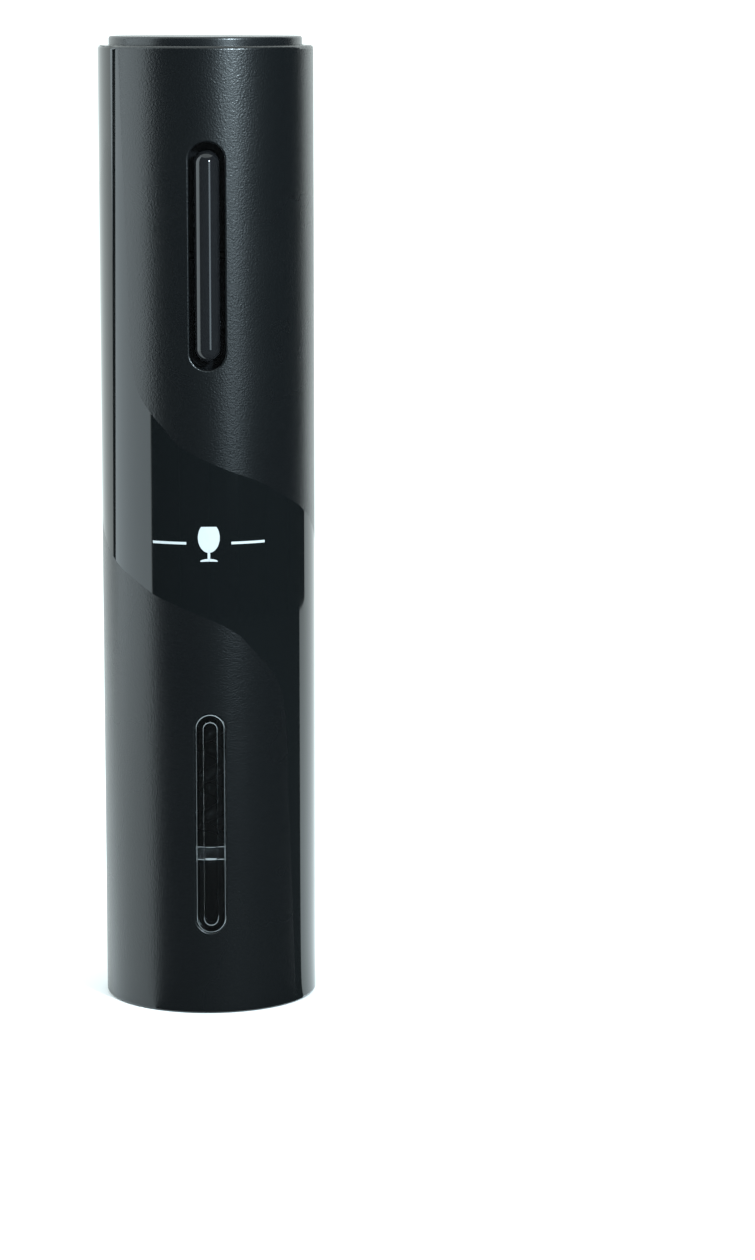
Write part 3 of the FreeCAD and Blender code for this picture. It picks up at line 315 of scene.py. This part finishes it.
def ink_finish(settings):
    """Pale printed ink, slightly uneven at its surface."""
    colour = tuple(settings.ink)
    finish = Finish("printed_ink", colour, 0.42)
    finish.drive("Base Color", finish.blend(finish.noise(0.0009, 4), shade_of(colour, 0.95),
                                            shade_of(colour, 1.03)))
    finish.bump(finish.noise(0.00025, 2), 0.000006)
    return finish.material


def board_finish():
    """Green lacquered board with copper tracks showing through the lacquer."""
    finish = Finish("board_green", (0.02, 0.16, 0.07), 0.3)
    tracks = finish.add("TexBrick", {"Vector": finish.place, "Scale": 260.0,
                                     "Mortar Size": 0.06, "Brick Width": 0.9})
    finish.drive("Base Color", finish.blend(tracks.outputs["Fac"], (0.015, 0.13, 0.055, 1),
                                            (0.04, 0.26, 0.10, 1)))
    finish.drive("Roughness", finish.spans(finish.noise(0.002, 3), 0.3, 0.7, 0.22, 0.38))
    finish.bump(tracks.outputs["Fac"], 0.00003)
    return finish.material


def wire_finish():
    """Red insulation on the right-hand wires and black on the left-hand ones."""
    finish = Finish("wire_insulation", (0.4, 0.02, 0.02), 0.4)
    x = finish.add("SeparateXYZ", {0: finish.place}).outputs["X"]
    side = finish.math("GREATER_THAN", x, 0.0)
    finish.drive("Base Color", finish.blend(side, (0.012, 0.012, 0.013, 1), (0.42, 0.016, 0.012, 1)))
    finish.drive("Roughness", finish.spans(finish.noise(0.0006, 3), 0.3, 0.7, 0.32, 0.5))
    return finish.material


def cell_finish(node):
    """A battery's film wrap: a dark body and a copper-coloured shoulder band."""
    low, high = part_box(node)
    finish = Finish("wrap_" + node, (0.02, 0.02, 0.022), 0.25, 0.4)
    z = finish.add("SeparateXYZ", {0: finish.place}).outputs["Z"]
    band = finish.math("GREATER_THAN", z, high[2] - 0.014)
    tip = finish.math("GREATER_THAN", z, high[2] - 0.0013)
    wrap = finish.blend(band, (0.015, 0.015, 0.017, 1), (0.55, 0.22, 0.08, 1))
    finish.drive("Base Color", finish.blend(tip, wrap, (0.7, 0.7, 0.68, 1)))
    finish.drive("Roughness", finish.spans(finish.noise(0.002, 4), 0.3, 0.7, 0.2, 0.36))
    finish.bump(finish.noise(0.004, 2), 0.00002, 0.4)
    return finish.material


def dress(material, *names):
    """Give CAD nodes a finish."""
    for name in names:
        mesh = NODES[name].data
        mesh.materials.clear()
        mesh.materials.append(material)


# ------------------------------------------------------------------ modelling helpers

def deselect():
    """Leave nothing selected."""
    for other in bpy.context.selected_objects:
        other.select_set(False)


def take(obj):
    """Make one object the selected and active one."""
    deselect()
    obj.select_set(True)
    bpy.context.view_layer.objects.active = obj
    return obj


def settle(obj, name, material):
    """Apply an object's place, name it, finish it and let it ride on the housing."""
    take(obj)
    bpy.ops.object.transform_apply(location=True, rotation=True, scale=True)
    obj.name = name
    obj.data.name = name
    obj.data.materials.clear()
    obj.data.materials.append(material)
    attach(obj, "housing")


def apply_modifiers(obj):
    """Make an object's modifiers part of its mesh."""
    take(obj)
    for modifier in list(obj.modifiers):
        bpy.ops.object.modifier_apply(modifier=modifier.name)


def plate(width, height, x, z, cuts):
    """A flat upright rectangle in front of the casing, facing the front."""
    deselect()
    bpy.ops.mesh.primitive_plane_add(size=1, location=(x, -RADIUS - STANDOFF, z),
                                     rotation=(math.radians(90), 0, 0))
    obj = bpy.context.active_object
    obj.scale = (width, height, 1)
    take(obj)
    bpy.ops.object.transform_apply(location=True, rotation=True, scale=True)
    bpy.ops.object.mode_set(mode="EDIT")
    bpy.ops.mesh.select_all(action="SELECT")
    bpy.ops.mesh.subdivide(number_cuts=cuts)
    bpy.ops.object.mode_set(mode="OBJECT")
    return obj


def disc(radius_x, radius_z, x, z):
    """A flat upright ellipse in front of the casing."""
    deselect()
    bpy.ops.mesh.primitive_circle_add(vertices=ARC_SIDES, radius=1, fill_type="TRIFAN",
                                      location=(x, -RADIUS - STANDOFF, z),
                                      rotation=(math.radians(90), 0, 0))
    obj = bpy.context.active_object
    obj.scale = (radius_x, radius_z, 1)
    take(obj)
    bpy.ops.object.transform_apply(location=True, rotation=True, scale=True)
    return obj


def halve(obj, point, normal):
    """Keep the part of a flat shape that lies behind a cutting plane."""
    take(obj)
    bpy.ops.object.mode_set(mode="EDIT")
    bpy.ops.mesh.select_all(action="SELECT")
    bpy.ops.mesh.bisect(plane_co=point, plane_no=normal, clear_outer=True, use_fill=False)
    bpy.ops.object.mode_set(mode="OBJECT")
    return obj


def join(objects):
    """Make several objects one."""
    take(objects[0])
    for other in objects[1:]:
        other.select_set(True)
    bpy.ops.object.join()
    return bpy.context.active_object


def loop(radius, level, run, width):
    """A flat upright ribbon round a slot's shape: two half circles and straight sides."""
    deselect()
    bpy.ops.mesh.primitive_circle_add(vertices=ARC_SIDES, radius=radius, fill_type="NGON",
                                      location=(0, -RADIUS - STANDOFF, level),
                                      rotation=(math.radians(90), 0, 0))
    obj = take(bpy.context.active_object)
    bpy.ops.object.transform_apply(location=True, rotation=True, scale=True)
    for end in (-1, 1):
        bpy.ops.object.mode_set(mode="EDIT")
        bpy.ops.mesh.select_all(action="DESELECT")
        bpy.ops.object.mode_set(mode="OBJECT")
        for vertex in obj.data.vertices:
            vertex.select = (vertex.co.z - level) * end > -radius / 1000
        bpy.ops.object.mode_set(mode="EDIT")
        bpy.ops.transform.translate(value=(0, 0, end * run / 2))
        bpy.ops.object.mode_set(mode="OBJECT")
    bpy.ops.object.mode_set(mode="EDIT")
    bpy.ops.mesh.select_all(action="SELECT")
    bpy.ops.mesh.inset(thickness=width)
    bpy.ops.mesh.delete(type="FACE")
    bpy.ops.object.mode_set(mode="OBJECT")
    return obj


def lay_on(shape, node, lift=0.00002, thickness=0.00003):
    """Lay a flat shape on the front of a CAD node and give it a little thickness."""
    wrap = shape.modifiers.new("Wrap", "SHRINKWRAP")
    wrap.target = NODES[node]
    wrap.wrap_method = "PROJECT"
    wrap.use_project_x, wrap.use_project_y, wrap.use_project_z = False, True, False
    wrap.use_negative_direction = wrap.use_positive_direction = True
    wrap.offset = lift
    thick = shape.modifiers.new("Thickness", "SOLIDIFY")
    thick.thickness = thickness
    thick.offset = 1
    apply_modifiers(shape)
    return shape


# ------------------------------------------------------------------ operators

class OPENER_OT_casing(Operator):
    """Finish the two casing halves and the battery cap"""
    bl_idname = "opener.casing"
    bl_label = "Casing"

    def execute(self, context):
        material = casing_finish(context.scene.opener_casing)
        dress(material, "front_shell", "back_shell")
        cap = mottled("cap_black", (0.006, 0.007, 0.008), 0.30, 0.03, 0.00002, 0.00042)
        dress(cap.material, "battery_cap")
        return {"FINISHED"}


class OPENER_OT_mark(Operator):
    """Print a small wine glass between two lines on the front"""
    bl_idname = "opener.mark"
    bl_label = "Printed Mark"

    def execute(self, context):
        mark = context.scene.opener_mark
        tall, level = mark.height, mark.middle
        bowl_level = level + tall * 0.16
        bowl = halve(disc(tall * 0.30, tall * 0.42, 0, bowl_level),
                     (0, 0, level + tall * 0.46), (0, 0, 1))
        stem = plate(tall * 0.07, tall * 0.30, 0, level - tall * 0.34, 2)
        foot = halve(disc(tall * 0.24, tall * 0.07, 0, level - tall * 0.50),
                     (0, 0, level - tall * 0.50), (0, 0, -1))
        parts = [bowl, stem, foot]
        line = mark.span / 2 - tall * 0.62
        for side in (-1, 1):
            parts.append(plate(line, tall * 0.07, side * (mark.span / 2 - line / 2), level, 5))
        shape = lay_on(join(parts), "front_shell")
        settle(shape, "printed_mark", ink_finish(mark))
        return {"FINISHED"}


class OPENER_OT_switch(Operator):
    """Finish the rocker switch and the recess it stands in"""
    bl_idname = "opener.switch"
    bl_label = "Switch"

    def execute(self, context):
        dress(gloss_finish(), "rocker_button", "switch_tray")
        return {"FINISHED"}


class OPENER_OT_window(Operator):
    """Finish the clear window insert and draw painted highlight lines along its edges and painted
    glint lines across it
    """
    bl_idname = "opener.window"
    bl_label = "Window"

    def execute(self, context):
        dress(clear_finish(), "lower_window")
        # Painted highlights: loops along the window's edge and its bead's edge, and glint lines
        # across it where the soft ring's edges show through.
        lower, upper = RING_GLINT_LEVELS
        lines = [loop(WINDOW_EDGE, WINDOW_LEVEL, WINDOW_RUN, 0.00011),
                 loop(BEAD_EDGE, WINDOW_LEVEL, WINDOW_RUN, 0.00010),
                 plate(0.0060, 0.00014, 0, lower, 5),
                 plate(0.0060, 0.00010, 0, upper, 5),
                 plate(0.0026, 0.00024, 0, lower + 0.00022, 3)]
        shape = lay_on(join(lines), "lower_window", 0.00001, 0.00002)
        settle(shape, "window_highlight_lines", edge_highlight_finish())
        return {"FINISHED"}


class OPENER_OT_bottle_end(Operator):
    """Finish the sleeves, the soft ring and the worm"""
    bl_idname = "opener.bottle_end"
    bl_label = "Bottle End"

    def execute(self, context):
        matte = mottled("inner_plastic", (0.030, 0.030, 0.032), 0.45, 0.006, 0.00002, 0.00035)
        dress(matte.material, "nose_guide", "cork_guide", "worm_hub", "battery_holder",
              "cap_collar", "motor_end_cap", "push_switches", "upper_plunger", "lower_plunger")
        # Painted shade: the hinge pin is coloured near-black and matte so that it stays as dark as
        # the shade in the switch recess.
        pin = mottled("pin_shade_black", (0.003, 0.003, 0.0032), 0.75, 0.002, 0.00001, 0.0003)
        dress(pin.material, "rocker_pin")
        rubber = mottled("ring_rubber", (0.045, 0.045, 0.047), 0.62, 0.003, 0.00003, 0.0002)
        dress(rubber.material, "neck_ring")
        worm = drawn_metal("worm_coating", (0.16, 0.16, 0.165), 0.38, (1, 1, 1), 0.0003, 0.000006)
        dress(worm.material, "corkscrew")
        return {"FINISHED"}


class OPENER_OT_drive(Operator):
    """Finish the gears, the motor and their small parts"""
    bl_idname = "opener.drive"
    bl_label = "Drive"

    def execute(self, context):
        stages = [name for name in NODES if name.startswith("stage_") and "planet" in name]
        nylon = mottled("gear_nylon", (0.74, 0.72, 0.65), 0.42, 0.003, 0.00002, 0.0003)
        dress(nylon.material, "gearbox_case", "stage_1_carrier", *stages)
        turned = drawn_metal("turned_steel", (0.60, 0.61, 0.62), 0.28, (1, 1, 30), 0.0002)
        dress(turned.material, "output_carrier", "gearbox_cover", "motor_shaft", "thrust_washer",
              "stage_1_pins", "stage_2_pins", "hub_pin")
        can = drawn_metal("motor_steel", (0.64, 0.65, 0.66), 0.3, (1, 1, 0.03))
        dress(can.material, "motor_can")
        brass = drawn_metal("turned_brass", (0.70, 0.50, 0.22), 0.25, (1, 1, 20), 0.0002)
        dress(brass.material, "sun_pinion", "output_bush")
        return {"FINISHED"}


class OPENER_OT_power(Operator):
    """Finish the cells, contacts, boards and wires"""
    bl_idname = "opener.power"
    bl_label = "Power"

    def execute(self, context):
        for name in sorted(NODES):
            if name.startswith("battery_cell_"):
                dress(cell_finish(name), name)
        nickel = drawn_metal("contact_nickel", (0.72, 0.70, 0.64), 0.24, (0.05, 1, 1))
        dress(nickel.material, "lower_contacts", "cap_contacts")
        dress(board_finish(), "switch_board", "contact_plate")
        dress(wire_finish(), "motor_leads", "battery_leads")
        return {"FINISHED"}


class OPENER_OT_screws(Operator):
    """Finish every set of screws"""
    bl_idname = "opener.screws"
    bl_label = "Screws"

    def execute(self, context):
        zinc = drawn_metal("screw_zinc", (0.52, 0.53, 0.55), 0.32, (1, 12, 1), 0.0003)
        dress(zinc.material, "shell_screws", "frame_screws", "motor_screws", "tray_screws",
              "cap_screw")
        return {"FINISHED"}


def reflection_card(name, width, height, place, facing):
    """A dark card that only polished surfaces see."""
    deselect()
    bpy.ops.mesh.primitive_plane_add(size=1, location=place, rotation=facing)
    card = bpy.context.active_object
    card.scale = (width, height, 1)
    card.name = name
    finish = Finish(name + "_black", (0.01, 0.01, 0.01), 1.0)
    card.data.materials.append(finish.material)
    card.visible_camera = card.visible_diffuse = card.visible_shadow = False
    card.visible_volume_scatter = False


def around_handle(azimuth, distance, height):
    """A place round the handle: azimuth 0 is in front, and positive is to the right."""
    turn = math.radians(azimuth)
    return Vector((math.sin(turn) * distance, -math.cos(turn) * distance, height))


def soft_light(name, place, width, height, power, colour, aim):
    """A rectangular light aimed at a height on the handle's axis."""
    deselect()
    bpy.ops.object.light_add(type="AREA", location=place)
    lamp = bpy.context.active_object
    lamp.name = name
    lamp.data.shape = "RECTANGLE"
    lamp.data.size, lamp.data.size_y = width, height
    lamp.data.energy = power
    lamp.data.color = colour
    lamp.visible_camera = False
    lamp.rotation_euler = (Vector((0, 0, aim)) - place).to_track_quat("-Z", "Y").to_euler()


class OPENER_OT_stage(Operator):
    """Set the floor, the lights and the camera"""
    bl_idname = "opener.stage"
    bl_label = "Stage"

    def execute(self, context):
        stage = context.scene.opener_stage
        deselect()
        bpy.ops.mesh.primitive_plane_add(size=8, location=(0, 0, 0))
        floor = context.active_object
        floor.name = "floor"
        paint = Finish("floor_pale", tuple(stage.floor_colour), 0.7)
        floor.data.materials.append(paint.material)

        world = bpy.data.worlds.new("studio")
        world.use_nodes = True
        world.node_tree.nodes["Background"].inputs["Color"].default_value = (0.90, 1.0, 1.0, 1)
        world.node_tree.nodes["Background"].inputs["Strength"].default_value = 1.45
        context.scene.world = world
        context.scene.view_settings.view_transform = "Standard"

        for index, azimuth in enumerate(FRONT_CARDS):
            place = around_handle(azimuth, 0.6, 0.3)
            facing = Euler((math.radians(90), 0, math.radians(azimuth)))
            reflection_card("front_card_%d" % index, 0.36, 1.2, place, facing)
        for side, turn, ahead in (("left", -45, 0.013), ("right", 45, 0.020)):
            place = around_handle(FLOOR_SEAM + turn, FLOOR_CARD / math.sqrt(2), 0.0004)
            reflection_card("floor_card_" + side, FLOOR_CARD, FLOOR_CARD,
                            place + around_handle(FLOOR_SEAM, ahead, 0),
                            Euler((0, 0, math.radians(FLOOR_SEAM))))
        reflection_card("edge_card", 0.045, 1.2, around_handle(-107.3, 0.45, 0.3),
                        Euler((math.radians(90), math.radians(24.3), math.radians(-107.3))))

        soft_light("left_box", around_handle(-92, 0.58, 0.45), 0.62, 1.1, 2.9,
                   (0.74, 0.90, 1.0), 0.45)
        soft_light("right_panel", around_handle(26, 0.55, 0.2625), 0.13, 0.375, 0.58,
                   (0.72, 0.90, 1.0), 0.2625)
        soft_light("right_lamp", around_handle(30, 0.55, 0.40), 0.05, 0.05, 5.2,
                   (0.74, 0.91, 1.0), 0.11)

        deselect()
        bpy.ops.object.camera_add(
            location=(0, -stage.distance, stage.camera_height),
            rotation=(math.radians(90) - stage.tilt, 0, -stage.turn))
        camera = context.active_object
        camera.data.lens = stage.lens
        camera.data.sensor_width = 36
        camera.data.clip_start, camera.data.clip_end = 0.05, 50
        context.scene.camera = camera
        return {"FINISHED"}


STEPS = (OPENER_OT_casing, OPENER_OT_mark, OPENER_OT_switch, OPENER_OT_window,
         OPENER_OT_bottle_end, OPENER_OT_drive, OPENER_OT_power, OPENER_OT_screws,
         OPENER_OT_stage)


class OPENER_PT_panel(Panel):
    """The wine opener's pieces and settings"""
    bl_idname = "OPENER_PT_panel"
    bl_label = "Wine Opener"
    bl_space_type = "VIEW_3D"
    bl_region_type = "UI"
    bl_category = "Wine Opener"

    def draw(self, context):
        scene = context.scene
        for settings in (scene.opener_casing, scene.opener_mark, scene.opener_stage):
            box = self.layout.box()
            for name in settings.__annotations__:
                box.prop(settings, name)
        column = self.layout.column(align=True)
        for step in STEPS:
            column.operator(step.bl_idname)


CLASSES = (CasingSettings, MarkSettings, StageSettings, *STEPS, OPENER_PT_panel)


def register():
    for item in CLASSES:
        bpy.utils.register_class(item)
    bpy.types.Scene.opener_casing = PointerProperty(type=CasingSettings)
    bpy.types.Scene.opener_mark = PointerProperty(type=MarkSettings)
    bpy.types.Scene.opener_stage = PointerProperty(type=StageSettings)


def unregister():
    del bpy.types.Scene.opener_stage
    del bpy.types.Scene.opener_mark
    del bpy.types.Scene.opener_casing
    for item in reversed(CLASSES):
        bpy.utils.unregister_class(item)


def main():
    register()
    for step in STEPS:
        group, name = step.bl_idname.split(".")
        getattr(getattr(bpy.ops, group), name)()


if __name__ == "__main__":
    main()
